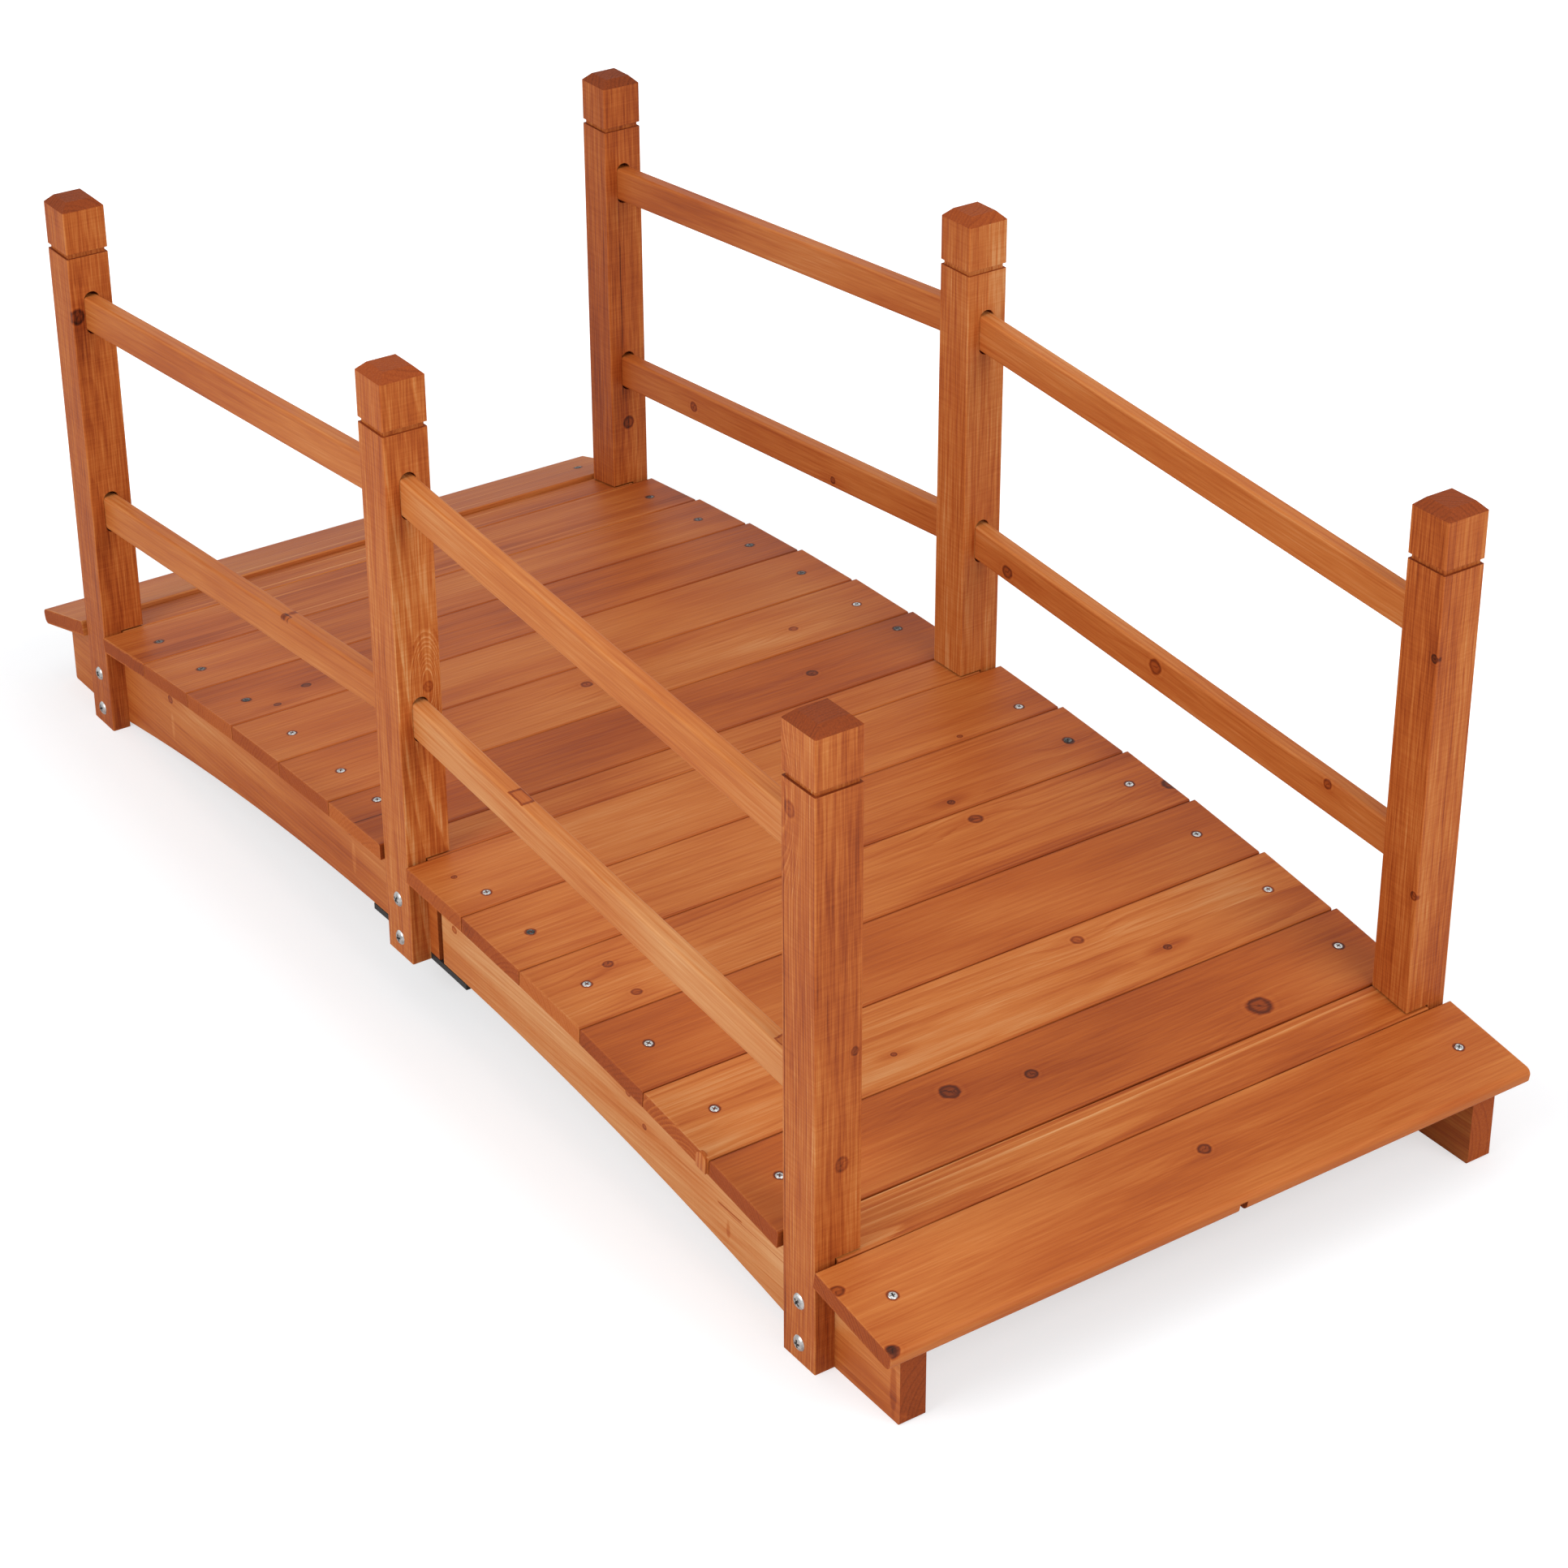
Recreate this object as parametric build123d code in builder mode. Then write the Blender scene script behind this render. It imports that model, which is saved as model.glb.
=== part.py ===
import math
import os

from build123d import *

os.makedirs("parts", exist_ok=True)

# Overall sizes of the bridge, millimetres
bridge_length = 1524
post_faces_apart = 664
arch_rise = 54
end_post_inset = 126

# Stock sizes
deck_thickness = 16
stringer_thickness = 25
stringer_crown_depth = 83
stringer_end_height = 75
post_section = 44
post_length = 582
rail_height = 35
rail_thickness = 16
plate_thickness = 6

# Deck layout
boards_per_half = 6
board_gap = 1
post_board_gap = 1.5
end_board_gap = 1.5
end_overhang = 17
board_end_projection = 3
board_edge_round = 1.5
end_board_nose_round = 6

# Splice at mid-span
centre_block_length = 75
splice_gap = 8
plate_length = 170

# Post details
top_chamfer = 8
groove_below_top = 51
groove_height = 5
groove_depth = 2.5
post_edge_round = 1.2
shoulder_clearance = 1.5

# Rails and the mortises that hold them
top_rail_height_on_post = 466
lower_rail_height_on_post = 248
rail_edge_round = 3
mortise_height = 45
mortise_depth = 14
mortise_side_clearance = 0.25
tenon_end_clearance = 0.2

# Stringer details
foot_length = 104
stringer_edge_chamfer = 1
foot_corner_chamfer = 1.5

# Faults of this bridge: board ends out of square, the left end board set steep in degrees, a bitten nose
back_end_skew = 4
left_ramp_tilt = 6
ramp_length = 45
nose_bite_width = 8
nose_bite_depth = 18
nose_bite_height = 11
nose_bite_from_middle = 17

# How far a cut runs past the stock
overrun = 10

# Sizes that follow from the ones above
half_length = bridge_length / 2
half_post = post_section / 2
end_post_centre = half_length - end_post_inset
deck_board_length = post_faces_apart + 2 * board_end_projection
post_outer_y = post_faces_apart / 2
post_centre_y = post_outer_y - half_post
lap_thickness = post_section - stringer_thickness
stringer_outer_y = post_outer_y - lap_thickness
stringer_inner_y = stringer_outer_y - stringer_thickness
stringer_end = half_length - end_overhang
stringer_start = centre_block_length / 2 + splice_gap
foot_start = stringer_end - foot_length
underside_radius = (foot_start ** 2 + arch_rise ** 2) / (2 * arch_rise)
stringer_crown = arch_rise + stringer_crown_depth
stringer_fall = stringer_crown - stringer_end_height
deck_radius = (stringer_end ** 2 + stringer_fall ** 2) / (2 * stringer_fall)
deck_top_radius = deck_radius + deck_thickness
deck_crown = stringer_crown + deck_thickness
middle_post_bottom = arch_rise - plate_thickness
end_board_start = math.asin((end_post_centre + half_post + end_board_gap) / deck_radius)
end_board_stop = math.asin(half_length / (deck_top_radius - end_board_nose_round))
end_board_angle = (end_board_start + end_board_stop) / 2
ramp_start = stringer_end - ramp_length
ramp_slope = end_board_angle + math.radians(left_ramp_tilt)


# Height of an arc of known crown and radius at a station along the bridge
def arc_height(crown, radius, station):
    return crown - radius + math.sqrt(radius ** 2 - station ** 2)


# Top edge of the stringers, which carries the boards
def stringer_top(station):
    return arc_height(stringer_crown, deck_radius, station)


# Sawn underside of the arch
def arch_underside(station):
    return arc_height(arch_rise, underside_radius, station)


# Plane tangent to the stringer tops, its normal pointing up out of the deck
def deck_plane(angle):
    out = (math.sin(angle), 0, math.cos(angle))
    along = (math.cos(angle), 0, -math.sin(angle))
    origin = (deck_radius * out[0], 0, stringer_crown - deck_radius * (1 - out[2]))
    return Plane(origin=origin, x_dir=along, z_dir=out)


# Plane of the steeper ramp cut on the left ends, its origin where the ramp leaves the arch
def ramp_plane():
    out = (-math.sin(ramp_slope), 0, math.cos(ramp_slope))
    along = (math.cos(ramp_slope), 0, math.sin(ramp_slope))
    return Plane(origin=(-ramp_start, 0, stringer_top(ramp_start)), x_dir=along, z_dir=out)


# Half of one stringer: arched top and underside, flat foot, square ends, and a ramp on the left
def make_stringer(label, end, side):
    arch_stop = ramp_start if end < 0 else stringer_end
    ramp_fall = (stringer_end - arch_stop) * math.tan(ramp_slope)
    inner_mid = (stringer_start + arch_stop) / 2
    under_mid = (stringer_start + foot_start) / 2
    top_inner = (end * stringer_start, stringer_top(stringer_start))
    top_middle = (end * inner_mid, stringer_top(inner_mid))
    top_outer = (end * arch_stop, stringer_top(arch_stop))
    ramp_outer = (end * stringer_end, stringer_top(arch_stop) - ramp_fall)
    toe_upper = (end * stringer_end, foot_corner_chamfer)
    toe_lower = (end * (stringer_end - foot_corner_chamfer), 0)
    heel = (end * foot_start, 0)
    under_middle = (end * under_mid, arch_underside(under_mid))
    under_inner = (end * stringer_start, arch_underside(stringer_start))
    with BuildPart() as stringer:
        with BuildSketch(Plane.XZ.offset(-side * (stringer_outer_y + stringer_inner_y) / 2)):
            with BuildLine():
                ThreePointArc(top_inner, top_middle, top_outer)
                if ramp_fall:
                    Line(top_outer, ramp_outer)
                Polyline(ramp_outer, toe_upper, toe_lower, heel)
                ThreePointArc(heel, under_middle, under_inner)
                Line(under_inner, top_inner)
            make_face()
        extrude(amount=stringer_thickness / 2, both=True)
        long_edges = stringer.edges().filter_by(GeomType.CIRCLE)
        if ramp_fall:
            sloped = stringer.edges().filter_by(GeomType.LINE)
            for way in (Axis.X, Axis.Y, Axis.Z):
                sloped = sloped - stringer.edges().filter_by(way)
            long_edges = long_edges + sloped.sort_by(Axis.Z)[-2:]
        chamfer(long_edges, stringer_edge_chamfer)
    stringer.part.label = label
    export_step(stringer.part, f"parts/{label}.step")


# Short block between the two halves, carrying the middle post
def make_centre_block(label, side):
    reach = centre_block_length / 2
    top_left = (-reach, stringer_top(reach))
    top_right = (reach, stringer_top(reach))
    under_left = (-reach, arch_underside(reach))
    under_right = (reach, arch_underside(reach))
    with BuildPart() as block:
        with BuildSketch(Plane.XZ.offset(-side * (stringer_outer_y + stringer_inner_y) / 2)):
            with BuildLine():
                ThreePointArc(top_left, (0, stringer_crown), top_right)
                Line(top_right, under_right)
                ThreePointArc(under_right, (0, arch_rise), under_left)
                Line(under_left, top_left)
            make_face()
        extrude(amount=stringer_thickness / 2, both=True)
        long_edges = block.edges().filter_by(GeomType.CIRCLE)
        chamfer(long_edges, stringer_edge_chamfer)
    block.part.label = label
    export_step(block.part, f"parts/{label}.step")


# Steel strap bent to the arch, under the block and both stringer ends
def make_plate(label, side):
    reach = plate_length / 2
    lower_radius = underside_radius - plate_thickness
    top_left = (-reach, arch_underside(reach))
    top_right = (reach, arch_underside(reach))
    low_left = (-reach, arc_height(middle_post_bottom, lower_radius, reach))
    low_right = (reach, arc_height(middle_post_bottom, lower_radius, reach))
    with BuildPart() as plate:
        with BuildSketch(Plane.XZ.offset(-side * (stringer_outer_y + stringer_inner_y) / 2)):
            with BuildLine():
                ThreePointArc(top_left, (0, arch_rise), top_right)
                Line(top_right, low_right)
                ThreePointArc(low_right, (0, middle_post_bottom), low_left)
                Line(low_left, top_left)
            make_face()
        extrude(amount=stringer_thickness / 2, both=True)
    plate.part.label = label
    export_step(plate.part, f"parts/{label}.step")


# Flat board lying on the arch, with its upper long edges eased and its back end cut to a skew
def make_board(label, plane, width, length, skew=0, nose=0, shift=0, bitten=False):
    with BuildPart() as board:
        with BuildSketch(plane):
            with Locations((shift, 0)):
                Polygon(
                    (-width / 2, -length / 2),
                    (width / 2, -length / 2),
                    (width / 2, length / 2 - skew),
                    (-width / 2, length / 2),
                    align=None,
                )
        extrude(amount=deck_thickness)
        long_edges = board.edges().filter_by(Axis.Y)
        if nose:
            outer_edges = long_edges.sort_by(Axis.X)[-2:] if nose > 0 else long_edges.sort_by(Axis.X)[:2]
            inner_edges = long_edges.sort_by(Axis.X)[:2] if nose > 0 else long_edges.sort_by(Axis.X)[-2:]
            fillet(outer_edges, end_board_nose_round)
            fillet(inner_edges.sort_by(Axis.Z)[-1:], board_edge_round)
        else:
            fillet(long_edges.sort_by(Axis.Z)[-2:], board_edge_round)
        # Bite out of the lower half of the nose
        if bitten:
            with BuildSketch(plane):
                with Locations((nose * width / 2, nose_bite_from_middle)):
                    SlotOverall(2 * nose_bite_depth, nose_bite_width)
            extrude(amount=nose_bite_height, mode=Mode.SUBTRACT)
    board.part.label = label
    export_step(board.part, f"parts/{label}.step")


# Post with chamfered top, groove, lapped foot and rail mortises
def make_post(label, station, bottom, side, mortise_faces):
    centre_y = side * post_centre_y
    slope = math.asin(station / deck_radius)
    shoulder = arc_height(deck_crown, deck_top_radius, station) + shoulder_clearance
    reach = half_post + overrun
    with BuildPart() as post:
        with BuildSketch(Plane(origin=(station, centre_y, bottom))):
            Rectangle(post_section, post_section)
        extrude(amount=post_length)
        chamfer(post.faces().sort_by(Axis.Z)[-1].edges(), top_chamfer)
        fillet(post.edges().filter_by(Axis.Z), post_edge_round)
        # Groove all round below the top
        groove_floor = bottom + post_length - groove_below_top - groove_height
        with BuildSketch(Plane(origin=(station, centre_y, groove_floor))):
            Rectangle(post_section + overrun, post_section + overrun)
            inside = post_section - 2 * groove_depth
            Rectangle(inside, inside, mode=Mode.SUBTRACT)
        extrude(amount=groove_height, mode=Mode.SUBTRACT)
        # Notch for the stringer, its shoulder cut to the slope of the deck
        with BuildSketch(Plane.XZ.offset(-side * stringer_outer_y)):
            with BuildLine():
                Polyline(
                    (station - reach, bottom - overrun),
                    (station + reach, bottom - overrun),
                    (station + reach, shoulder - reach * math.tan(slope)),
                    (station - reach, shoulder + reach * math.tan(slope)),
                    close=True,
                )
            make_face()
        extrude(amount=side * (stringer_thickness + overrun), mode=Mode.SUBTRACT)
        # Round-ended mortises for the rails
        for face in mortise_faces:
            for height in (top_rail_height_on_post, lower_rail_height_on_post):
                face_origin = (station + face * half_post, centre_y, bottom + height)
                with BuildSketch(Plane(origin=face_origin, x_dir=(0, 1, 0), z_dir=(face, 0, 0))):
                    SlotOverall(mortise_height, rail_thickness + 2 * mortise_side_clearance, rotation=90)
                extrude(amount=-mortise_depth, mode=Mode.SUBTRACT)
    post.part.label = label
    export_step(post.part, f"parts/{label}.step")


# Straight rail with eased edges, its ends housed in the two posts
def make_rail(label, end, side, height_on_post):
    tenon = mortise_depth - tenon_end_clearance
    high_face = half_post
    low_face = end_post_centre - half_post
    high = middle_post_bottom + height_on_post
    fall = middle_post_bottom / (low_face - high_face)
    start = high_face - tenon
    stop = low_face + tenon
    start_z = high + tenon * fall
    stop_z = height_on_post - tenon * fall
    half_height = rail_height / 2 / math.cos(math.atan(fall))
    with BuildPart() as rail:
        with BuildSketch(Plane.XZ.offset(-side * post_centre_y)):
            with BuildLine():
                Polyline(
                    (end * start, start_z - half_height),
                    (end * stop, stop_z - half_height),
                    (end * stop, stop_z + half_height),
                    (end * start, start_z + half_height),
                    close=True,
                )
            make_face()
        extrude(amount=rail_thickness / 2, both=True)
        ends = rail.edges().filter_by(Axis.Y) + rail.edges().filter_by(Axis.Z)
        fillet(rail.edges() - ends, rail_edge_round)
    rail.part.label = label
    export_step(rail.part, f"parts/{label}.step")


# The two arched stringers, front and back
sides = {"front": -1, "back": 1}
ends = {"left": -1, "right": 1}
for side_name, side in sides.items():
    for end_name, end in ends.items():
        make_stringer(f"{side_name}_stringer_{end_name}", end, side)
    make_centre_block(f"{side_name}_centre_block", side)
    make_plate(f"{side_name}_splice_plate", side)

# The deck: six boards a half between the posts, narrow boards at the posts
run_start = math.asin((half_post + post_board_gap) / deck_radius)
run_end = math.asin((end_post_centre - half_post - post_board_gap) / deck_top_radius)
board_step = (run_end - run_start) / boards_per_half
board_width = deck_radius * board_step - board_gap
for number in range(boards_per_half):
    angle = run_start + (number + 1 / 2) * board_step
    left_name = f"deck_board_{boards_per_half - number:02d}"
    right_name = f"deck_board_{boards_per_half + number + 1:02d}"
    make_board(left_name, deck_plane(-angle), board_width, deck_board_length, back_end_skew)
    make_board(right_name, deck_plane(angle), board_width, deck_board_length, back_end_skew)

post_board_length = 2 * (stringer_outer_y - post_board_gap)
middle_board_width = 2 * deck_radius * run_start - board_gap
make_board("middle_board", deck_plane(0), middle_board_width, post_board_length)

post_board_angle = (run_end + end_board_start) / 2
post_board_width = deck_radius * (end_board_start - run_end) - 2 * board_gap
for end_name, end in ends.items():
    post_board_plane = deck_plane(end * post_board_angle)
    make_board(f"{end_name}_post_board", post_board_plane, post_board_width, post_board_length)

# The right end board follows the arch, and the left one lies on the ramp
right_width = deck_radius * (end_board_stop - end_board_start)
right_plane = deck_plane(end_board_angle)
make_board("right_end_board", right_plane, right_width, deck_board_length, nose=1, bitten=True)
nose_lean = (deck_thickness - end_board_nose_round) * math.sin(ramp_slope)
below_ramp = half_length - ramp_start - end_board_nose_round - nose_lean
left_outer = below_ramp / math.cos(ramp_slope) + end_board_nose_round
left_inner = deck_radius * (math.asin(ramp_start / deck_radius) - end_board_start)
left_shift = (left_inner - left_outer) / 2
make_board(
    "left_end_board", ramp_plane(), left_inner + left_outer, deck_board_length, nose=-1, shift=left_shift
)

# Three posts and four rails a side
for side_name, side in sides.items():
    make_post(f"{side_name}_middle_post", 0, middle_post_bottom, side, (-1, 1))
    for end_name, end in ends.items():
        make_post(f"{side_name}_{end_name}_post", end * end_post_centre, 0, side, (-end,))
        make_rail(f"{side_name}_{end_name}_top_rail", end, side, top_rail_height_on_post)
        make_rail(f"{side_name}_{end_name}_lower_rail", end, side, lower_rail_height_on_post)
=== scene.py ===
import math

import bmesh
import bpy
from mathutils import Matrix, Vector


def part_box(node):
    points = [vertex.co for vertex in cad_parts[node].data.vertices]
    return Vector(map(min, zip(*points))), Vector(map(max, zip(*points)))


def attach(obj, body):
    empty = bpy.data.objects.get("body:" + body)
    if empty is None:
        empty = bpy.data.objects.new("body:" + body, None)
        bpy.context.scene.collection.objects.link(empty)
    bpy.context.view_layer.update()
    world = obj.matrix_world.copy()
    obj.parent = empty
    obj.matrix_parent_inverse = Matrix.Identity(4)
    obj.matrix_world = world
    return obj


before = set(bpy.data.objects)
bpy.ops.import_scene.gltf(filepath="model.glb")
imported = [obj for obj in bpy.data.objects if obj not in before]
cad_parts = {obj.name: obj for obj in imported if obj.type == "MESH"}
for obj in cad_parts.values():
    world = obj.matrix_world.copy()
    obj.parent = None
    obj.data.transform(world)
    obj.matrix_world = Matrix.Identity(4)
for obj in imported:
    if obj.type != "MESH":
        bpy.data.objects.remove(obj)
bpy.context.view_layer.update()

# The stringers are the two arched sides, each sawn as two halves from 25 mm softwood board.
# They are brush stained a honey brown, stand on flat feet and carry every board of the deck.


# A value that varies over a piece. Sums on it add the matching maths nodes.
class Shade:
    def __init__(self, tree, socket=None):
        self.tree = tree
        self.socket = socket

    def node(self, kind, settings, sockets, output=0):
        made = self.tree.nodes.new(kind)
        for name, value in settings.items():
            if name == "stops":
                for at, _ in value[1:-1]:
                    made.color_ramp.elements.new(at)
                for stop, (at, colour) in zip(made.color_ramp.elements, value):
                    stop.position = at
                    stop.color = (*colour, 1)
            else:
                setattr(made, name, value)
        for name, value in sockets.items():
            if isinstance(value, Shade):
                self.tree.links.new(value.socket, made.inputs[name])
            else:
                made.inputs[name].default_value = value
        return Shade(self.tree, made.outputs[output])

    def maths(self, operation, *values):
        return self.node("ShaderNodeMath", {"operation": operation}, dict(enumerate(values)))

    def __add__(self, other):
        return self.maths("ADD", self, other)

    def __radd__(self, other):
        return self.maths("ADD", other, self)

    def __sub__(self, other):
        return self.maths("SUBTRACT", self, other)

    def __rsub__(self, other):
        return self.maths("SUBTRACT", other, self)

    def __mul__(self, other):
        return self.maths("MULTIPLY", self, other)

    def __rmul__(self, other):
        return self.maths("MULTIPLY", other, self)

    def __truediv__(self, other):
        return self.maths("DIVIDE", self, other)

    def __pow__(self, other):
        return self.maths("POWER", self, other)

    def __abs__(self):
        return self.maths("ABSOLUTE", self)

    # From 0 at low to 1 at high, eased at both ends
    def rise(self, low, high):
        return self.node(
            "ShaderNodeMapRange",
            {"interpolation_type": "SMOOTHSTEP"},
            {"Value": self, "From Min": low, "From Max": high},
        )

    # Cloudy variation, drawn out by different amounts along, across and through the piece
    def mottle(self, stretch, seed, detail, roughness=0.5):
        drawn = self.node(
            "ShaderNodeVectorMath",
            {"operation": "MULTIPLY_ADD"},
            {0: self, 1: stretch, 2: (seed * 3.7, seed * 1.9, seed * 2.3)},
        )
        return self.node(
            "ShaderNodeTexNoise",
            {},
            {"Vector": drawn, "Scale": 1.0, "Detail": detail, "Roughness": roughness},
        )


# The stain's colours from the dark of a knot to the palest streak
stain_stops = [
    (0.00, (0.028, 0.007, 0.003)),
    (0.20, (0.120, 0.021, 0.005)),
    (0.40, (0.300, 0.057, 0.010)),
    (0.54, (0.425, 0.101, 0.018)),
    (0.68, (0.530, 0.165, 0.037)),
    (0.83, (0.620, 0.272, 0.098)),
    (1.00, (0.740, 0.420, 0.200)),
]
faces_of_stock = {"top": (1, 1), "under": (1, -1), "right": (2, 1), "left": (2, -1)}


# Stained softwood for one piece. Its own X runs along the grain, Y across and Z through it.
# pale is the tone of the stain; streaks, rough and late are how strongly the streaks, the fibres
# and the late wood of each year show in it. heart is where the tree's middle lies beside the
# piece, drift how it leans along the piece, year the breadth of a ring and wave how it wanders.
# A knot is (along, sideways, radius, face), with its swirl last where the grain sweeps wide of it.
# A check is (from, to, sideways, width, face) and a spike, a knot sawn along its length, is
# (along, sideways, length, breadth, face). A screw is (along, across) and a patch is (along,
# across, length, breadth, lift). quiet dulls the figure on the side and flat faces.
def stained_wood(
    name, centre, axes, half, pale, seed,
    heart=(0.09, -0.07), drift=(0.008, 0.01), year=0.0042, wave=0.010, late=0.08, quiet=None,
    streaks=0.14, rough=0.30, saw=0.0, worn=0.05, end_pale=-0.13, end_rings=0.07,
    soak=0.0, pooled=0.0, belly=None,
    knots=(), checks=(), spikes=(), screws=(), patches=(),
):
    wood = bpy.data.materials.new(name)
    wood.use_nodes = True
    tree = wood.node_tree
    finish = tree.nodes["Principled BSDF"]
    turn = Matrix(axes).transposed().to_euler()
    pen = Shade(tree)
    where = pen.node("ShaderNodeTexCoord", {}, {}, "Object")
    facing = Shade(tree, where.socket.node.outputs["Normal"])
    own = pen.node(
        "ShaderNodeMapping",
        {"vector_type": "TEXTURE"},
        {"Vector": where, "Location": centre, "Rotation": turn},
    )
    apart = pen.node("ShaderNodeSeparateXYZ", {}, {"Vector": own})
    along, across, through = (Shade(tree, way) for way in apart.socket.node.outputs)
    sides = (along, across, through)

    # The way sideways on one face of the stock, the way out of that face, and where it lies
    def face_of_stock(face):
        axis, sign = faces_of_stock[face]
        return sides[axis], sides[3 - axis] * sign, half[3 - axis]

    # Brushed stain, streaks of the grain and single fibres
    cloud = own.mottle((4.0, 13, 13), seed, 1)
    streak = own.mottle((3.2, 62, 62), seed + 3, 3, 0.6)
    fibre = own.mottle((17, 520, 520), seed + 5, 2, 0.6)
    ragged = own.mottle((150, 150, 150), seed + 11, 1) - 0.5

    # Knots push the year rings aside and darken the wood round them
    bulge = 0
    dark = 0
    for at, aside, size, face, *swirl in knots:
        sideways, outward, skin = face_of_stock(face)
        lengthwise = (along - at) / (size * 1.12)
        sidewise = (sideways - aside) / size
        on_face = outward.rise(skin - 0.006, skin - 0.003)
        reach = (lengthwise * lengthwise + sidewise * sidewise) ** 0.5
        spread = (lengthwise * lengthwise * 0.12 + sidewise * sidewise) ** 0.5
        edge = reach + ragged * 0.35
        disc = edge.rise(1.08, 0.74)
        rim = edge.rise(0.40, 0.85)
        bearing = reach.maths("ARCTAN2", sidewise, lengthwise)
        bent = abs(reach.maths("SINE", bearing + at * 900 + ragged * 5)) * reach + ragged * 0.2
        crack = abs(bent).rise(0.15, 0.03) * (reach + ragged).rise(0.75, 0.30)
        ring = edge.rise(0.95, 1.10) * edge.rise(1.55, 1.15)
        bulge = bulge + spread.rise(3.6, 0.4) * (size * (swirl[0] if swirl else 0.9))
        ink = 0.6 if swirl else 1.0
        dark = dark + on_face * ink * (
            disc * (0.12 + rim * 0.19 + crack * 0.16) + edge.rise(2.0, 0.8) * 0.06
            + spread.rise(3.0, 0.6) * 0.05 - ring * 0.06
        )

    # Year rings round the heart, wandering along the piece
    wander = own.mottle((2.2, 8, 8), seed + 13, 1) - 0.5
    beside = across - heart[0] - along * drift[0] + wander * wave
    below = through - heart[1] - along * drift[1] + wander * (wave * 1.7)
    years = ((beside * beside + below * below) ** 0.5 + bulge) / year + fibre * 0.35
    part = years.maths("FRACT", years)
    strength = pen.node(
        "ShaderNodeTexWhiteNoise", {"noise_dimensions": "1D"}, {"W": years.maths("FLOOR", years)}
    )
    late_wood = part.rise(0.30, 0.9) * part.rise(1.0, 0.92) * (strength * 0.85 + 0.15)
    if quiet:
        for way, share in zip(axes[1:], quiet):
            towards = abs(pen.node(
                "ShaderNodeVectorMath", {"operation": "DOT_PRODUCT"}, {0: facing, 1: way}, "Value"
            ))
            late_wood = late_wood * (1 - towards.rise(0.5, 0.9) * share)

    tone = (
        pale + (streak - 0.5) * (2 * streaks) + (fibre - 0.5) * rough + (cloud - 0.5) * 0.34
        - (late_wood - 0.2) * late - dark
    )
    # Saw marks across rough stock
    if saw:
        marks = own.mottle((620, 26, 26), seed + 19, 1)
        tone = tone + (marks - 0.5) * saw
    # Splits and checks that run with the grain
    for start, stop, aside, width, face in checks:
        sideways, outward, _ = face_of_stock(face)
        wavy = sideways - aside + (streak - 0.5) * 0.006
        middle, reach = (start + stop) / 2, (stop - start) / 2
        split = abs(wavy).rise(width, width * 0.3) * abs(along - middle).rise(reach, reach * 0.8)
        tone = tone - split * outward.rise(-0.002, 0.002) * 0.3
    # Spike knots, outlined where the bark was
    for at, aside, length, breadth, face in spikes:
        sideways, outward, skin = face_of_stock(face)
        lengthwise, sidewise = abs(along - at) / length, abs(sideways - aside) / breadth
        reach = along.maths("MAXIMUM", lengthwise, sidewise) + ragged * 0.3
        drawn = reach.rise(1.05, 0.95) * (0.09 + reach.rise(0.66, 0.86) * 0.26)
        tone = tone - drawn * outward.rise(skin - 0.006, skin - 0.003)
    # Countersunk holes round the screws, darkened as painted shade because the board has no hole cut
    for at, aside in screws:
        from_screw = ((along - at) ** 2 + (across - aside) ** 2) ** 0.5 + ragged * 0.002
        tone = tone - from_screw.rise(0.0062, 0.0046) * through.rise(0, 0.004) * 0.36
    # Stain pooled along the long edges, and painted shade of the gaps between the boards
    if pooled:
        tone = tone - abs(across).rise(half[1] - 0.0026, half[1] - 0.0012) * pooled
    # A stringer's lower half, darker below a line that follows the arch
    if belly:
        arch_along, arch_across, radius, lower = belly
        from_middle = ((along - arch_along) ** 2 + (across - arch_across) ** 2) ** 0.5
        tone = tone - (from_middle + (streak - 0.5) * 0.02).rise(radius, radius - 0.012) * lower
    # Darker towards the back end
    if soak:
        tone = tone - along.rise(-half[0] + 0.07, -half[0] + 0.005) * soak

    # End grain drinks more stain and shows its rings
    with_grain = abs(pen.node(
        "ShaderNodeVectorMath", {"operation": "DOT_PRODUCT"}, {0: facing, 1: axes[0]}, "Value"
    ))
    end = with_grain.rise(0.35, 0.62)
    pores = own.mottle((700, 700, 700), seed + 23, 1)
    end_tone = (
        pale + end_pale - late_wood * end_rings + (pores - 0.5) * 0.16 + (cloud - 0.5) * 0.10
    )
    tone = tone + (end_tone - tone) * end
    # Patches where the stain took less, or more where the lift is below nothing. The broad dark one at
    # the right front stringer's foot is partly painted shade under the end board.
    for at, aside, length, breadth, lift in patches:
        reach = ((along - at) / length) ** 2 + ((across - aside) / breadth) ** 2
        tone = tone + (reach + (streak - 0.5) * 2).rise(1.0, 0.2) * lift
    # Arrises rubbed pale by handling
    if worn:
        rest = [edge - abs(side) for edge, side in zip(half, sides)]
        low = rest[0].maths("MINIMUM", rest[0], rest[1])
        high = rest[0].maths("MAXIMUM", rest[0], rest[1])
        arris = low.maths("MAXIMUM", low, high.maths("MINIMUM", high, rest[2]))
        tone = tone + (arris + (streak - 0.5) * 0.005).rise(0.0020, 0.0006) * worn

    colour = pen.node("ShaderNodeValToRGB", {"stops": stain_stops}, {"Fac": tone})
    tree.links.new(colour.socket, finish.inputs["Base Color"])
    gloss = 0.50 + (fibre - 0.5) * 0.25 + end * 0.2
    tree.links.new(gloss.socket, finish.inputs["Roughness"])
    height = fibre * (rough * 2.4) + streak * 0.3
    relief = pen.node("ShaderNodeBump", {}, {"Height": height, "Strength": 0.4, "Distance": 0.001})
    tree.links.new(relief.socket, finish.inputs["Normal"])
    finish.inputs["Specular IOR Level"].default_value = 0.16
    return wood


# Gives a piece of the frame its finish
def dress(piece, finish):
    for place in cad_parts[piece].material_slots:
        place.material = finish


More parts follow.
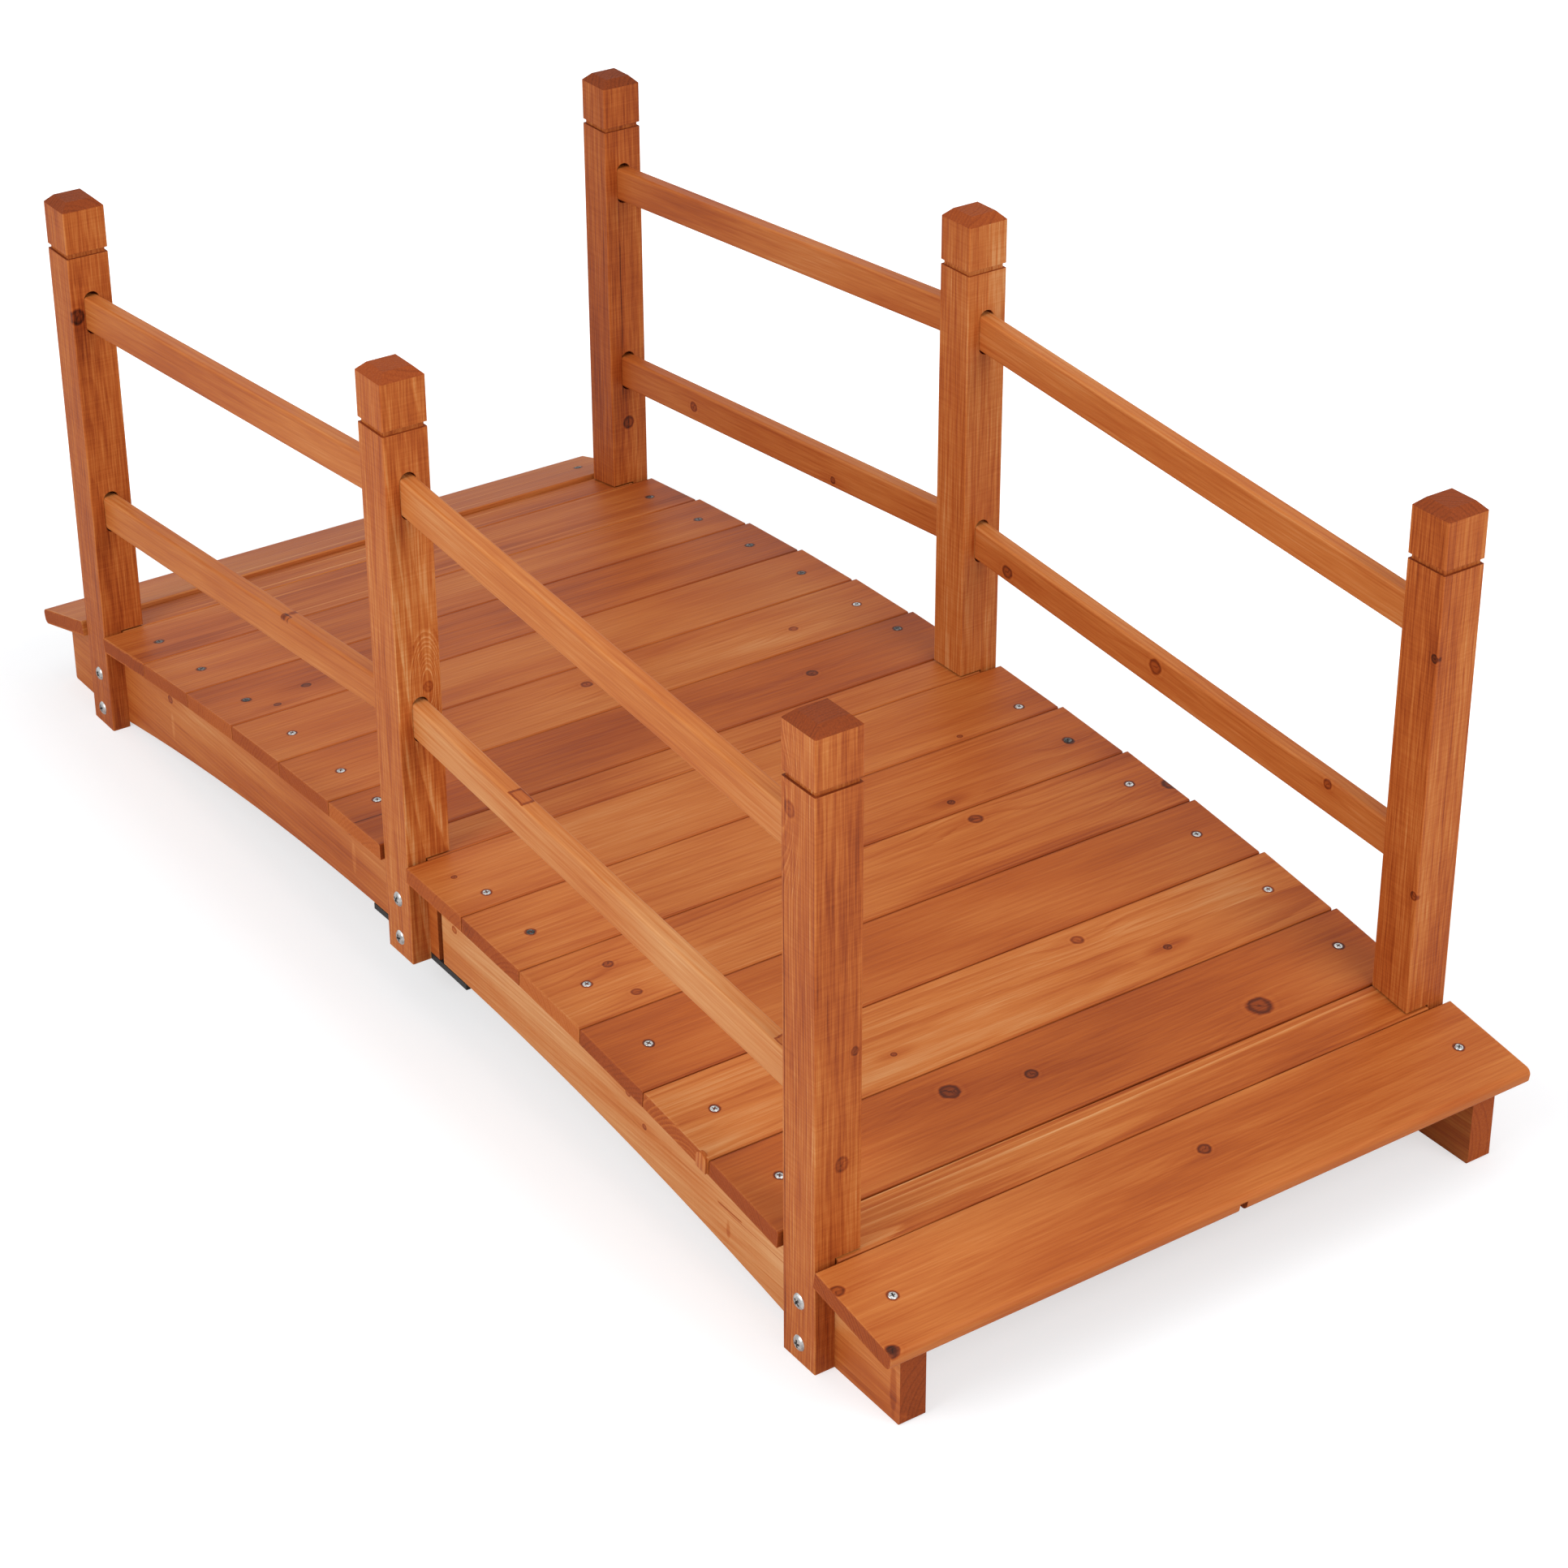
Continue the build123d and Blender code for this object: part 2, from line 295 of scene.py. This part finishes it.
def middle_of(piece):
    low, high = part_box(piece)
    return (low + high) / 2


# Stains one piece of the frame. half is half its stock's length, breadth and thickness.
def stain(piece, axes, half, **looks):
    dress(piece, stained_wood(piece + "_wood", middle_of(piece), axes, half, **looks))


upright_axes = ((1, 0, 0), (0, 0, 1), (0, -1, 0))
stringer_half = (0.350, 0.068, 0.0125)
stringer_looks = {
    "front_stringer_left": dict(
        pale=0.64, seed=1, heart=(0.10, -0.05), lower=0.06,
        knots=[
            (-0.111, 0.012, 0.005, "top"), (0.269, 0.042, 0.004, "top"), (0.313, 0.049, 0.005, "top"),
        ],
        patches=[(-0.110, -0.020, 0.004, 0.018, 0.10), (0.275, 0.016, 0.004, 0.020, 0.10)],
    ),
    "front_stringer_right": dict(
        pale=0.82, seed=2, heart=(-0.08, -0.06), lower=0.12,
        knots=[
            (-0.327, 0.034, 0.004, "top"), (-0.038, 0.023, 0.004, "top"), (-0.013, 0.002, 0.003, "top"),
        ],
        checks=[(0.096, 0.134, -0.008, 0.0011, "top"), (0.110, 0.200, -0.010, 0.0006, "top")],
        patches=[
            # The first patch darkens the foot, partly painted shade under the end board's overhang
            (0.33, 0.0, 0.10, 0.30, -0.20), (0.1125, -0.0275, 0.004, 0.014, -0.16),
            (0.341, -0.040, 0.005, 0.035, -0.16),
        ],
        end_pale=-0.26,
    ),
    "back_stringer_left": dict(pale=0.58, seed=3, heart=(0.06, 0.08), lower=0.06),
    "back_stringer_right": dict(pale=0.56, seed=4, heart=(-0.05, 0.07), lower=0.06),
}
arch_centre = -4.3704
arch_middle_radius = 4.462
for piece, looks in stringer_looks.items():
    centre = middle_of(piece)
    belly = (-centre.x, arch_centre - centre.z, arch_middle_radius, looks.pop("lower"))
    stain(piece, upright_axes, stringer_half, saw=0.03, worn=0, belly=belly, **looks)

# The centre blocks fill the gap between the two halves of each stringer behind the middle
# post. They are offcuts of the stringer board, with a saw-wide gap left on either side.
block_half = (0.0375, 0.0416, 0.0125)
for piece, seed in (("front_centre_block", 5), ("back_centre_block", 6)):
    stain(piece, upright_axes, block_half, pale=0.60, seed=seed, saw=0.03, worn=0)


# The splice plates are straps of flat steel bent to the arch and painted matt black.
# Each ties the block and the two stringer halves together from below.
def black_paint(name):
    paint = bpy.data.materials.new(name)
    paint.use_nodes = True
    tree = paint.node_tree
    finish = tree.nodes["Principled BSDF"]
    pen = Shade(tree)
    where = pen.node("ShaderNodeTexCoord", {}, {}, "Object")
    orange_peel = where.mottle((900, 900, 900), 2, 2)
    scuff = where.mottle((60, 220, 220), 4, 3, 0.6)
    black_stops = [
        (0.0, (0.008, 0.008, 0.009)), (0.62, (0.014, 0.014, 0.015)), (0.8, (0.05, 0.048, 0.046)),
    ]
    colour = pen.node("ShaderNodeValToRGB", {"stops": black_stops}, {"Fac": scuff})
    tree.links.new(colour.socket, finish.inputs["Base Color"])
    tree.links.new((0.42 + scuff * 0.3).socket, finish.inputs["Roughness"])
    relief = pen.node(
        "ShaderNodeBump", {}, {"Height": orange_peel, "Strength": 0.2, "Distance": 0.0003}
    )
    tree.links.new(relief.socket, finish.inputs["Normal"])
    return paint


plate_paint = black_paint("matt_black_paint")
for piece in ("front_splice_plate", "back_splice_plate"):
    dress(piece, plate_paint)

# The deck boards are twelve planed softwood boards, six to each half of the arch, laid flat
# across the two stringers with a narrow gap and held by one screw at each end.
board_half = (0.335, 0.0485, 0.008)
deck_radius = 4.515
left_ramp = math.radians(6)
front_screw, back_screw = 0.296, -0.300


# Axes of a board on the arch: grain towards the front, width downhill to the right, face up
def board_axes(piece):
    slope = math.asin(middle_of(piece).x / deck_radius)
    if piece == "left_end_board":
        slope = slope - left_ramp
    return (
        (0, -1, 0),
        (math.cos(slope), 0, -math.sin(slope)),
        (math.sin(slope), 0, math.cos(slope)),
    )


# How far each board's screws stand off its middle line. Those by the splice keep clear of it.
screw_aside = {
    "deck_board_01": 0.004, "deck_board_02": 0.003, "deck_board_03": 0.004, "deck_board_04": 0.002,
    "deck_board_05": 0.002, "deck_board_06": -0.026, "deck_board_07": 0.027, "deck_board_08": 0.004,
    "deck_board_09": -0.002, "deck_board_10": -0.003, "deck_board_11": -0.002, "deck_board_12": -0.006,
    "left_end_board": 0.002, "right_end_board": -0.001,
}
deck_looks = {
    "deck_board_01": dict(
        pale=0.53, seed=21, heart=(0.08, -0.05), drift=(0.02, 0.02), streaks=0.24, worn=0.16,
        patches=[
            (0.02, 0.032, 0.28, 0.0026, 0.16), (0.06, -0.024, 0.22, 0.0022, 0.14),
            (-0.1, 0.006, 0.2, 0.002, 0.1),
        ],
    ),
    "deck_board_02": dict(pale=0.56, seed=22, heart=(-0.09, -0.04), streaks=0.18),
    "deck_board_03": dict(
        pale=0.52, seed=23, heart=(0.12, -0.06), end_pale=-0.02,
        knots=[
            (-0.024, 0.013, 0.006, "top"), (0.277, 0.034, 0.004, "top"), (0.234, 0.012, 0.005, "top"),
        ],
    ),
    "deck_board_04": dict(
        pale=0.61, seed=24, heart=(0.10, -0.09), late=0.05, streaks=0.10, end_pale=-0.17,
    ),
    "deck_board_05": dict(
        pale=0.59, seed=25, heart=(-0.08, -0.07), end_pale=-0.15,
        knots=[
            (-0.216, 0.010, 0.005, "top"), (-0.009, 0.013, 0.006, "top"), (0.016, -0.011, 0.006, "top"),
        ],
        patches=[(-0.19, 0.020, 0.09, 0.015, 0.08)],
    ),
    "deck_board_06": dict(
        pale=0.50, seed=26, heart=(0.07, -0.10), late=0.05, streaks=0.10, end_pale=0.06,
        knots=[(-0.175, 0.003, 0.006, "top")], checks=[(0.300, 0.336, 0.0, 0.0010, "top")],
    ),
    "deck_board_07": dict(
        pale=0.62, seed=27, heart=(0.09, -0.06), late=0.05, streaks=0.10,
        knots=[(-0.218, 0.041, 0.003, "top"), (0.307, -0.011, 0.003, "top")],
    ),
    "deck_board_08": dict(
        pale=0.55, seed=28, heart=(0.05, -0.06), drift=(0.02, 0.012), streaks=0.16, end_pale=-0.20,
        knots=[(-0.300, 0.007, 0.005, "top"), (-0.140, 0.033, 0.004, "top")],
        patches=[(0.22, 0.0, 0.33, 0.09, 0.09)],
    ),
    "deck_board_09": dict(
        pale=0.60, seed=29, heart=(-0.07, -0.05), drift=(0.01, 0.012), late=0.10, end_pale=-0.02,
        knots=[
            (-0.142, -0.031, 0.007, "top"), (-0.334, 0.018, 0.009, "top"),
            (0.265, -0.017, 0.005, "top"), (0.266, 0.030, 0.005, "top"),
        ],
        patches=[(-0.16, 0.042, 0.16, 0.008, -0.10), (0.22, 0.0, 0.05, 0.05, 0.05)],
    ),
    "deck_board_10": dict(
        pale=0.54, seed=30, heart=(0.10, -0.12), late=0.03, streaks=0.08, rough=0.26,
    ),
    "deck_board_11": dict(
        pale=0.66, seed=31, heart=(0.02, -0.05), drift=(0.01, 0.02), late=0.10, streaks=0.18,
        end_pale=-0.22, end_rings=-0.16,
        knots=[
            (-0.104, -0.030, 0.006, "top"), (-0.167, 0.018, 0.004, "top"), (0.128, 0.016, 0.003, "top"),
        ],
    ),
    "deck_board_12": dict(
        pale=0.53, seed=32, heart=(-0.10, -0.10), late=0.04, streaks=0.09, rough=0.26,
        knots=[
            (-0.184, 0.023, 0.0115, "top"), (0.116, -0.020, 0.009, "top"), (0.043, -0.004, 0.006, "top"),
        ],
    ),
}
for piece, looks in deck_looks.items():
    holes = [(at, screw_aside[piece]) for at in (front_screw, back_screw)]
    stain(piece, board_axes(piece), board_half, soak=0.10, pooled=0.12, screws=holes, **looks)

# Three narrow boards close the deck between each pair of posts. They are ripped from the same
# stock and slide in under the posts' shoulders.
narrow_half = (0.3115, 0.0225, 0.008)
narrow_looks = {
    "middle_board": dict(pale=0.60, seed=41, heart=(0.06, -0.04)),
    "left_post_board": dict(
        pale=0.54, seed=42, heart=(-0.06, -0.04), streaks=0.20, worn=0.16,
        patches=[(0.04, 0.014, 0.30, 0.0024, 0.16), (0.0, -0.012, 0.26, 0.002, 0.14)],
    ),
    "right_post_board": dict(
        pale=0.60, seed=43, heart=(0.012, -0.030), drift=(0.02, 0.010), year=0.0034, wave=0.005,
        late=-0.26,
    ),
}
for piece, looks in narrow_looks.items():
    stain(piece, board_axes(piece), narrow_half, pooled=0.12, **looks)

# The end boards are planed a little wider, with a rounded nose that overhangs the stringer ends,
# and are screwed down like the rest. The left one sits steep on a ramp sawn in the stringers, and
# the right one has a knot in its middle and two dark ones at its front corner.
end_half = (0.335, 0.0515, 0.008)
end_looks = {
    "left_end_board": dict(
        pale=0.57, seed=51, heart=(0.09, -0.06), worn=0.16,
        patches=[(0.0, 0.034, 0.30, 0.0026, 0.18), (-0.08, 0.004, 0.22, 0.0022, 0.12)],
    ),
    "right_end_board": dict(
        pale=0.60, seed=52, heart=(-0.09, -0.10), late=0.04, streaks=0.10, rough=0.26,
        end_pale=-0.18, end_rings=0.14,
        knots=[
            (-0.025, -0.010, 0.006, "top"), (0.330, 0.046, 0.006, "top"), (0.331, -0.026, 0.006, "top"),
        ],
        patches=[(-0.20, 0.0, 0.30, 0.10, -0.04), (0.330, 0.046, 0.005, 0.005, -0.30)],
    ),
}
for piece, looks in end_looks.items():
    holes = [(at, screw_aside[piece]) for at in (front_screw, back_screw)]
    stain(piece, board_axes(piece), end_half, screws=holes, **looks)

# The six posts are square softwood, rough from the saw and stained a redder brown. The top is
# chamfered with a groove below, and the foot is notched to lap over the stringer.
post_axes = ((0, 0, 1), (1, 0, 0), (0, 1, 0))
post_half = (0.291, 0.022, 0.022)
post_looks = {
    "front_left_post": dict(
        pale=0.53, seed=61, heart=(0.05, -0.02), drift=(0.05, 0.0),
        knots=[(0.174, -0.017, 0.008, "right")],
    ),
    "front_middle_post": dict(
        pale=0.615, seed=62, heart=(-0.10, 0.03), drift=(0.04, 0.0), wave=0.014, late=-0.26,
        quiet=(0, 0.7),
        knots=[(-0.0126, 0.0089, 0.0055, "right", 7)],
    ),
    "front_right_post": dict(
        pale=0.555, seed=63, heart=(0.16, 0.01), year=0.0034, wave=0.02, late=-0.20,
        quiet=(0.85, 0), end_pale=-0.24,
        knots=[
            (-0.098, 0.003, 0.007, "right", 0.9), (0.002, 0.015, 0.004, "right", 0.9),
            (0.211, -0.011, 0.007, "under", 2.5),
        ],
        checks=[(-0.29, 0.19, -0.0185, 0.0007, "under")],
    ),
    "back_left_post": dict(
        pale=0.51, seed=64, heart=(0.04, 0.03), knots=[(-0.105, -0.001, 0.007, "right")],
        checks=[(-0.08, 0.12, -0.008, 0.0010, "right")],
    ),
    "back_middle_post": dict(pale=0.63, seed=65, heart=(-0.05, -0.03)),
    "back_right_post": dict(
        pale=0.55, seed=66, heart=(0.05, -0.05),
        knots=[(0.159, 0.0185, 0.004, "under"), (-0.068, 0.0185, 0.004, "under")],
    ),
}
for piece, looks in post_looks.items():
    looks.setdefault("end_pale", -0.20)
    stain(piece, post_axes, post_half, rough=0.60, saw=0.14, worn=0.06, **looks)

# The eight rails are light planed battens with eased edges, stained a paler honey. Each end is
# let into a round-ended mortise, and each rail slopes down from the middle post.
rail_fall = 0.0811
rail_half = (0.304, 0.0175, 0.008)
rail_looks = {
    "front_left_top_rail": dict(pale=0.63, seed=71, knots=[(0.275, 0.0, 0.005, "right")]),
    "front_right_top_rail": dict(pale=0.70, seed=72),
    "back_left_top_rail": dict(pale=0.59, seed=73),
    "back_right_top_rail": dict(pale=0.69, seed=74),
    "front_left_lower_rail": dict(
        pale=0.62, seed=75, spikes=[(0.099, 0.009, 0.007, 0.006, "right")],
        patches=[(0.097, 0.016, 0.005, 0.004, -0.28)],
    ),
    "front_right_lower_rail": dict(
        pale=0.74, seed=76,
        spikes=[(-0.126, 0.0, 0.012, 0.0066, "right"), (0.268, 0.0, 0.009, 0.005, "right")],
    ),
    "back_left_lower_rail": dict(
        pale=0.57, seed=77, knots=[(-0.154, -0.001, 0.006, "top"), (0.103, -0.009, 0.004, "top")],
    ),
    "back_right_lower_rail": dict(
        pale=0.65, seed=78,
        knots=[
            (-0.025, 0.006, 0.008, "top"), (-0.245, -0.006, 0.007, "top"), (0.209, 0.012, 0.005, "top"),
        ],
    ),
}
for piece, looks in rail_looks.items():
    slope = math.copysign(math.atan(rail_fall), -middle_of(piece).x)
    rail_axes = (
        (math.cos(slope), 0, math.sin(slope)),
        (-math.sin(slope), 0, math.cos(slope)),
        (0, -1, 0),
    )
    stain(piece, rail_axes, rail_half, heart=(0.06, -0.05), late=0.06, streaks=0.12, **looks)


# Two bolts hold each post's foot to the stringer. The heads are low zinc domes with a cross
# recess, and a washer and nut close each bolt on the inner face.
def zinc_plate(name, dull, bright):
    zinc = bpy.data.materials.new(name)
    zinc.use_nodes = True
    tree = zinc.node_tree
    finish = tree.nodes["Principled BSDF"]
    finish.inputs["Metallic"].default_value = 1.0
    pen = Shade(tree)
    where = pen.node("ShaderNodeTexCoord", {}, {}, "Object")
    bloom = where.mottle((260, 260, 260), 5, 3, 0.6)
    colour = pen.node(
        "ShaderNodeValToRGB",
        {"stops": [(0.32, (dull, dull, dull)), (0.72, (bright, bright, bright * 0.98))]},
        {"Fac": bloom},
    )
    tree.links.new(colour.socket, finish.inputs["Base Color"])
    tree.links.new((0.16 + bloom * 0.22).socket, finish.inputs["Roughness"])
    relief = pen.node("ShaderNodeBump", {}, {"Height": bloom, "Strength": 0.15, "Distance": 0.0002})
    tree.links.new(relief.socket, finish.inputs["Normal"])
    return zinc


# A domed head turned from its outline, with a tapered cross pressed into the top. arm and slot are
# half the cross's length and half its width, and depth is how far it is pressed in.
def screw_head(mesh, outline, turns, arm, slot, depth):
    rim = [mesh.verts.new((radius, 0, height)) for radius, height in outline]
    edges = [mesh.edges.new(pair) for pair in zip(rim, rim[1:])]
    bmesh.ops.spin(
        mesh, geom=rim + edges, cent=(0, 0, 0), axis=(0, 0, 1), angle=math.tau, steps=turns,
        use_merge=True,
    )
    bmesh.ops.remove_doubles(mesh, verts=mesh.verts, dist=1e-6)
    for normal in ((1, 0, 0), (0, 1, 0)):
        for away in (-arm, -slot, slot, arm):
            everything = mesh.verts[:] + mesh.edges[:] + mesh.faces[:]
            bmesh.ops.bisect_plane(
                mesh, geom=everything, plane_co=Vector(normal) * away, plane_no=normal, dist=1e-7
            )
    cross = []
    for face in mesh.faces:
        spot = face.calc_center_median()
        x, y = abs(spot.x), abs(spot.y)
        if min(x, y) < slot and max(x, y) < arm:
            cross.append(face)
    pressed = bmesh.ops.extrude_face_region(mesh, geom=cross)
    bmesh.ops.delete(mesh, geom=cross, context="FACES")
    floor_verts = [item for item in pressed["geom"] if isinstance(item, bmesh.types.BMVert)]
    # The pressed cross takes the second finish, a dark zinc painted as the recess's shade
    for vert in floor_verts:
        for face in vert.link_faces:
            face.material_index = 1
    bmesh.ops.translate(mesh, verts=floor_verts, vec=(0, 0, -depth))
    bmesh.ops.scale(mesh, verts=floor_verts, vec=(0.72, 0.72, 1))
    bmesh.ops.remove_doubles(mesh, verts=mesh.verts, dist=1e-6)
    bmesh.ops.recalc_face_normals(mesh, faces=mesh.faces)


# Sets copies of a shape down at each place and returns them as one piece
def set_copies(name, shape, places, *finishes):
    whole = bmesh.new()
    pattern = bpy.data.meshes.new(name + "_pattern")
    shape.to_mesh(pattern)
    shape.free()
    for place in places:
        placed = pattern.copy()
        placed.transform(place)
        whole.from_mesh(placed)
        bpy.data.meshes.remove(placed)
    bpy.data.meshes.remove(pattern)
    mesh = bpy.data.meshes.new(name)
    whole.to_mesh(mesh)
    whole.free()
    for face in mesh.polygons:
        face.use_smooth = True
    for finish in finishes:
        mesh.materials.append(finish)
    piece = bpy.data.objects.new(name, mesh)
    bpy.context.scene.collection.objects.link(piece)
    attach(piece, "root")
    return piece


bright_zinc = zinc_plate("bright_zinc", 0.34, 0.74)
# A near-black copy of the zinc for the floor and walls of each cross recess, painted shade
recess_shade_zinc = zinc_plate("recess_shade_zinc", 0.03, 0.10)
bolt_heights = (0.018, 0.059)
bolt_outline = [
    (0.0, 0.0026), (0.0022, 0.0025), (0.0044, 0.0021), (0.0060, 0.0014), (0.0069, 0.0005), (0.0072, 0.0),
]
head = bmesh.new()
screw_head(head, bolt_outline, turns=32, arm=0.0036, slot=0.0010, depth=0.0014)
bolt_places = []
nut_places = []
for side in ("front", "back"):
    outward = -1 if side == "front" else 1
    for end in ("left", "middle", "right"):
        low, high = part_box(f"{side}_{end}_post")
        face = low.y if side == "front" else high.y
        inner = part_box(f"{side}_centre_block")[1 if side == "front" else 0].y
        for height in bolt_heights:
            spot = Vector(((low.x + high.x) / 2, face, low.z + height))
            twist = Matrix.Rotation(0.5 + 0.7 * len(bolt_places), 4, "Z")
            stand = Matrix.Rotation(math.radians(-90 * outward), 4, "X")
            bolt_places.append(Matrix.Translation(spot) @ stand @ twist)
            spot = Vector((spot.x, inner, spot.z))
            stand = Matrix.Rotation(math.radians(90 * outward), 4, "X")
            nut_places.append(Matrix.Translation(spot) @ stand @ twist)
set_copies("post_bolt_heads", head, bolt_places, bright_zinc, recess_shade_zinc)

# Washer, nut and the bolt's tail: (sides, radius at the foot, radius at the top, height, middle)
nut = bmesh.new()
for sides, foot, top, height, middle in (
    (24, 0.0085, 0.0085, 0.0014, 0.0007),
    (6, 0.0075, 0.0075, 0.0050, 0.0039),
    (16, 0.0030, 0.0027, 0.0035, 0.0081),
):
    layer = bmesh.ops.create_cone(
        nut, cap_ends=True, segments=sides, radius1=foot, radius2=top, depth=height
    )
    bmesh.ops.translate(nut, verts=layer["verts"], vec=(0, 0, middle))
bmesh.ops.bevel(
    nut, geom=nut.edges[:], offset=0.0003, segments=1, profile=0.5, affect="EDGES", material=-1
)
nuts = set_copies("post_bolt_nuts", nut, nut_places, bright_zinc)
for face in nuts.data.polygons:
    face.use_smooth = False

# One zinc wood screw goes through each end of each full-length board into the stringer. Some are
# driven deep, with a dark zinc on their heads as painted shade, so they show only as dark spots.
screw_outline = [
    (0.0, 0.0006), (0.0018, 0.00055), (0.0031, 0.0004), (0.0038, 0.0001), (0.0040, -0.0004),
]


def wood_screw():
    head = bmesh.new()
    screw_head(head, screw_outline, turns=24, arm=0.0023, slot=0.0006, depth=0.0007)
    return head


# A dark copy of the zinc for the screws driven deep, painted shade of their holes
painted_shade_zinc = zinc_plate("painted_shade_zinc", 0.02, 0.20)
# Whether the front and the back screw of a board are driven deep
deep_screws = {
    "deck_board_01": (1, 1), "deck_board_02": (1, 1), "deck_board_03": (1, 1), "deck_board_04": (0, 1),
    "deck_board_06": (0, 1), "deck_board_08": (1, 1), "left_end_board": (1, 1),
}
screw_places = []
deep_places = []
for piece in [*deck_looks, *end_looks]:
    axes = board_axes(piece)
    lay = Matrix(axes).transposed().to_4x4()
    top = middle_of(piece) + Vector(axes[2]) * board_half[2] + Vector(axes[1]) * screw_aside[piece]
    for at, deep in zip((front_screw, back_screw), deep_screws.get(piece, (0, 0))):
        twist = Matrix.Rotation(0.9 * (len(screw_places) + len(deep_places)), 4, "Z")
        place = Matrix.Translation(top + Vector(axes[0]) * at) @ lay @ twist
        (deep_places if deep else screw_places).append(place)
set_copies("deck_screw_heads", wood_screw(), screw_places, bright_zinc, recess_shade_zinc)
set_copies("deep_screw_heads", wood_screw(), deep_places, painted_shade_zinc, recess_shade_zinc)

# A loosened knot stands proud of the front end of the second board from the right. It is an
# arch-shaped plug of paler wood, still held in its socket at the board's corner.
plug_board = "deck_board_11"
plug_radius = 0.0075
plug_length = 0.004
plug_foot = -0.0098
plug_aside = 0.040
plug_above_middle = 0.002
plug = bmesh.new()
bmesh.ops.create_cone(
    plug, cap_ends=True, segments=24, radius1=plug_radius, radius2=plug_radius, depth=plug_length
)
for vert in plug.verts:
    if vert.co.y < -1e-5:
        vert.co.y = plug_foot
bmesh.ops.bevel(
    plug, geom=plug.edges[:], offset=0.0004, segments=2, profile=0.5, affect="EDGES", material=-1
)
grain_out, board_side, board_up = (Vector(axis) for axis in board_axes(plug_board))
board_end = middle_of(plug_board) + grain_out * board_half[0]
plug_spot = board_end + board_side * plug_aside + board_up * plug_above_middle
plug_place = Matrix((board_side, board_up, grain_out)).transposed().to_4x4()
plug_place.translation = plug_spot
plug_wood = stained_wood(
    "plug_wood", plug_spot, (board_up, board_side, grain_out),
    (0.0095, plug_radius, plug_length / 2), pale=0.70, seed=91,
    heart=(0.02, 0.02), year=0.003, late=0.30, worn=0,
)
set_copies("proud_knot", plug, [plug_place], plug_wood)

# The studio: a white floor that keeps the soft shadow, with more shadow painted into its glow round
# the bridge, a pale surround, and a camera standing to the right of the front, looking down on the deck.
bpy.context.scene.view_settings.view_transform = "Standard"
floor_mesh = bmesh.new()
floor_reach = 15
bmesh.ops.create_grid(floor_mesh, x_segments=1, y_segments=1, size=floor_reach)
sheet = bpy.data.meshes.new("studio_floor")
floor_mesh.to_mesh(sheet)
floor_mesh.free()
floor = bpy.data.objects.new("studio_floor", sheet)
bpy.context.scene.collection.objects.link(floor)
paper = bpy.data.materials.new("white_paper")
paper.use_nodes = True
tree = paper.node_tree
finish = tree.nodes["Principled BSDF"]
finish.inputs["Roughness"].default_value = 0.9
finish.inputs["Specular IOR Level"].default_value = 0.0
finish.inputs["Emission Strength"].default_value = 1.0
pen = Shade(tree)
path = pen.node("ShaderNodeLightPath", {}, {}, "Is Camera Ray")
paper_tone = pen.node(
    "ShaderNodeValToRGB", {"stops": [(0, (0.8, 0.8, 0.8)), (1, (0.49, 0.5, 0.515))]}, {"Fac": path}
)
tree.links.new(paper_tone.socket, finish.inputs["Base Color"])
# The paper glows white to the camera, with painted shadow: a little less glow by the bridge and least
# under the deck
spread = pen.node("ShaderNodeTexCoord", {}, {}, "Object")
apart = pen.node("ShaderNodeSeparateXYZ", {}, {"Vector": spread})
out_end = abs(apart)
out_side = abs(Shade(tree, apart.socket.node.outputs[1]))
bridge_end, bridge_side = 0.76, 0.33
beyond_end = path.maths("MAXIMUM", out_end - bridge_end, 0)
beyond_side = path.maths("MAXIMUM", out_side - bridge_side, 0)
clear = ((beyond_end * beyond_end + beyond_side * beyond_side) ** 0.5).rise(0.05, 0.5)
below = out_side.rise(0.24, 0.04) * out_end.rise(0.74, 0.45)
glow_with_painted_shadow = path * (0.58 + clear * 0.4 - below * 0.30)
tree.links.new(glow_with_painted_shadow.socket, finish.inputs["Emission Color"])
sheet.materials.append(paper)

world = bpy.data.worlds.new("studio")
bpy.context.scene.world = world
world.use_nodes = True
tree = world.node_tree
pen = Shade(tree)
path = pen.node("ShaderNodeLightPath", {}, {}, "Is Camera Ray")
shiny = Shade(tree, path.socket.node.outputs["Is Glossy Ray"])
seen = path.maths("MAXIMUM", path, shiny)
tree.links.new((0.54 + seen * 0.46).socket, tree.nodes["Background"].inputs["Strength"])
tree.nodes["Background"].inputs["Color"].default_value = (1, 1, 1, 1)


# A soft lamp aimed at the middle of the bridge
def soft_lamp(name, spot, size, power):
    lamp = bpy.data.lights.new(name, "AREA")
    lamp.shape = "DISK"
    lamp.size = size
    lamp.energy = power
    stand = bpy.data.objects.new(name, lamp)
    stand.location = spot
    aim = Vector((0, 0, 0.25)) - Vector(spot)
    stand.rotation_euler = aim.to_track_quat("-Z", "Y").to_euler()
    bpy.context.scene.collection.objects.link(stand)


soft_lamp("front_lamp", (0.6, -3.6, 2.6), 2.6, 84)
soft_lamp("end_lamp", (3.6, 0.6, 2.4), 2.6, 66)
soft_lamp("overhead_lamp", (0.0, 0.4, 3.6), 2.4, 14)

eye = bpy.data.cameras.new("studio_camera")
eye.sensor_width = 36
eye.lens = 85.0
eye.shift_x = 0.02255
eye.shift_y = -0.1
camera = bpy.data.objects.new("studio_camera", eye)
camera.location = (2.55468, -1.66304, 1.87586)
camera.rotation_euler = [math.radians(a) for a in (62.4391, 0.45, 55.8687)]
bpy.context.scene.collection.objects.link(camera)
bpy.context.scene.camera = camera
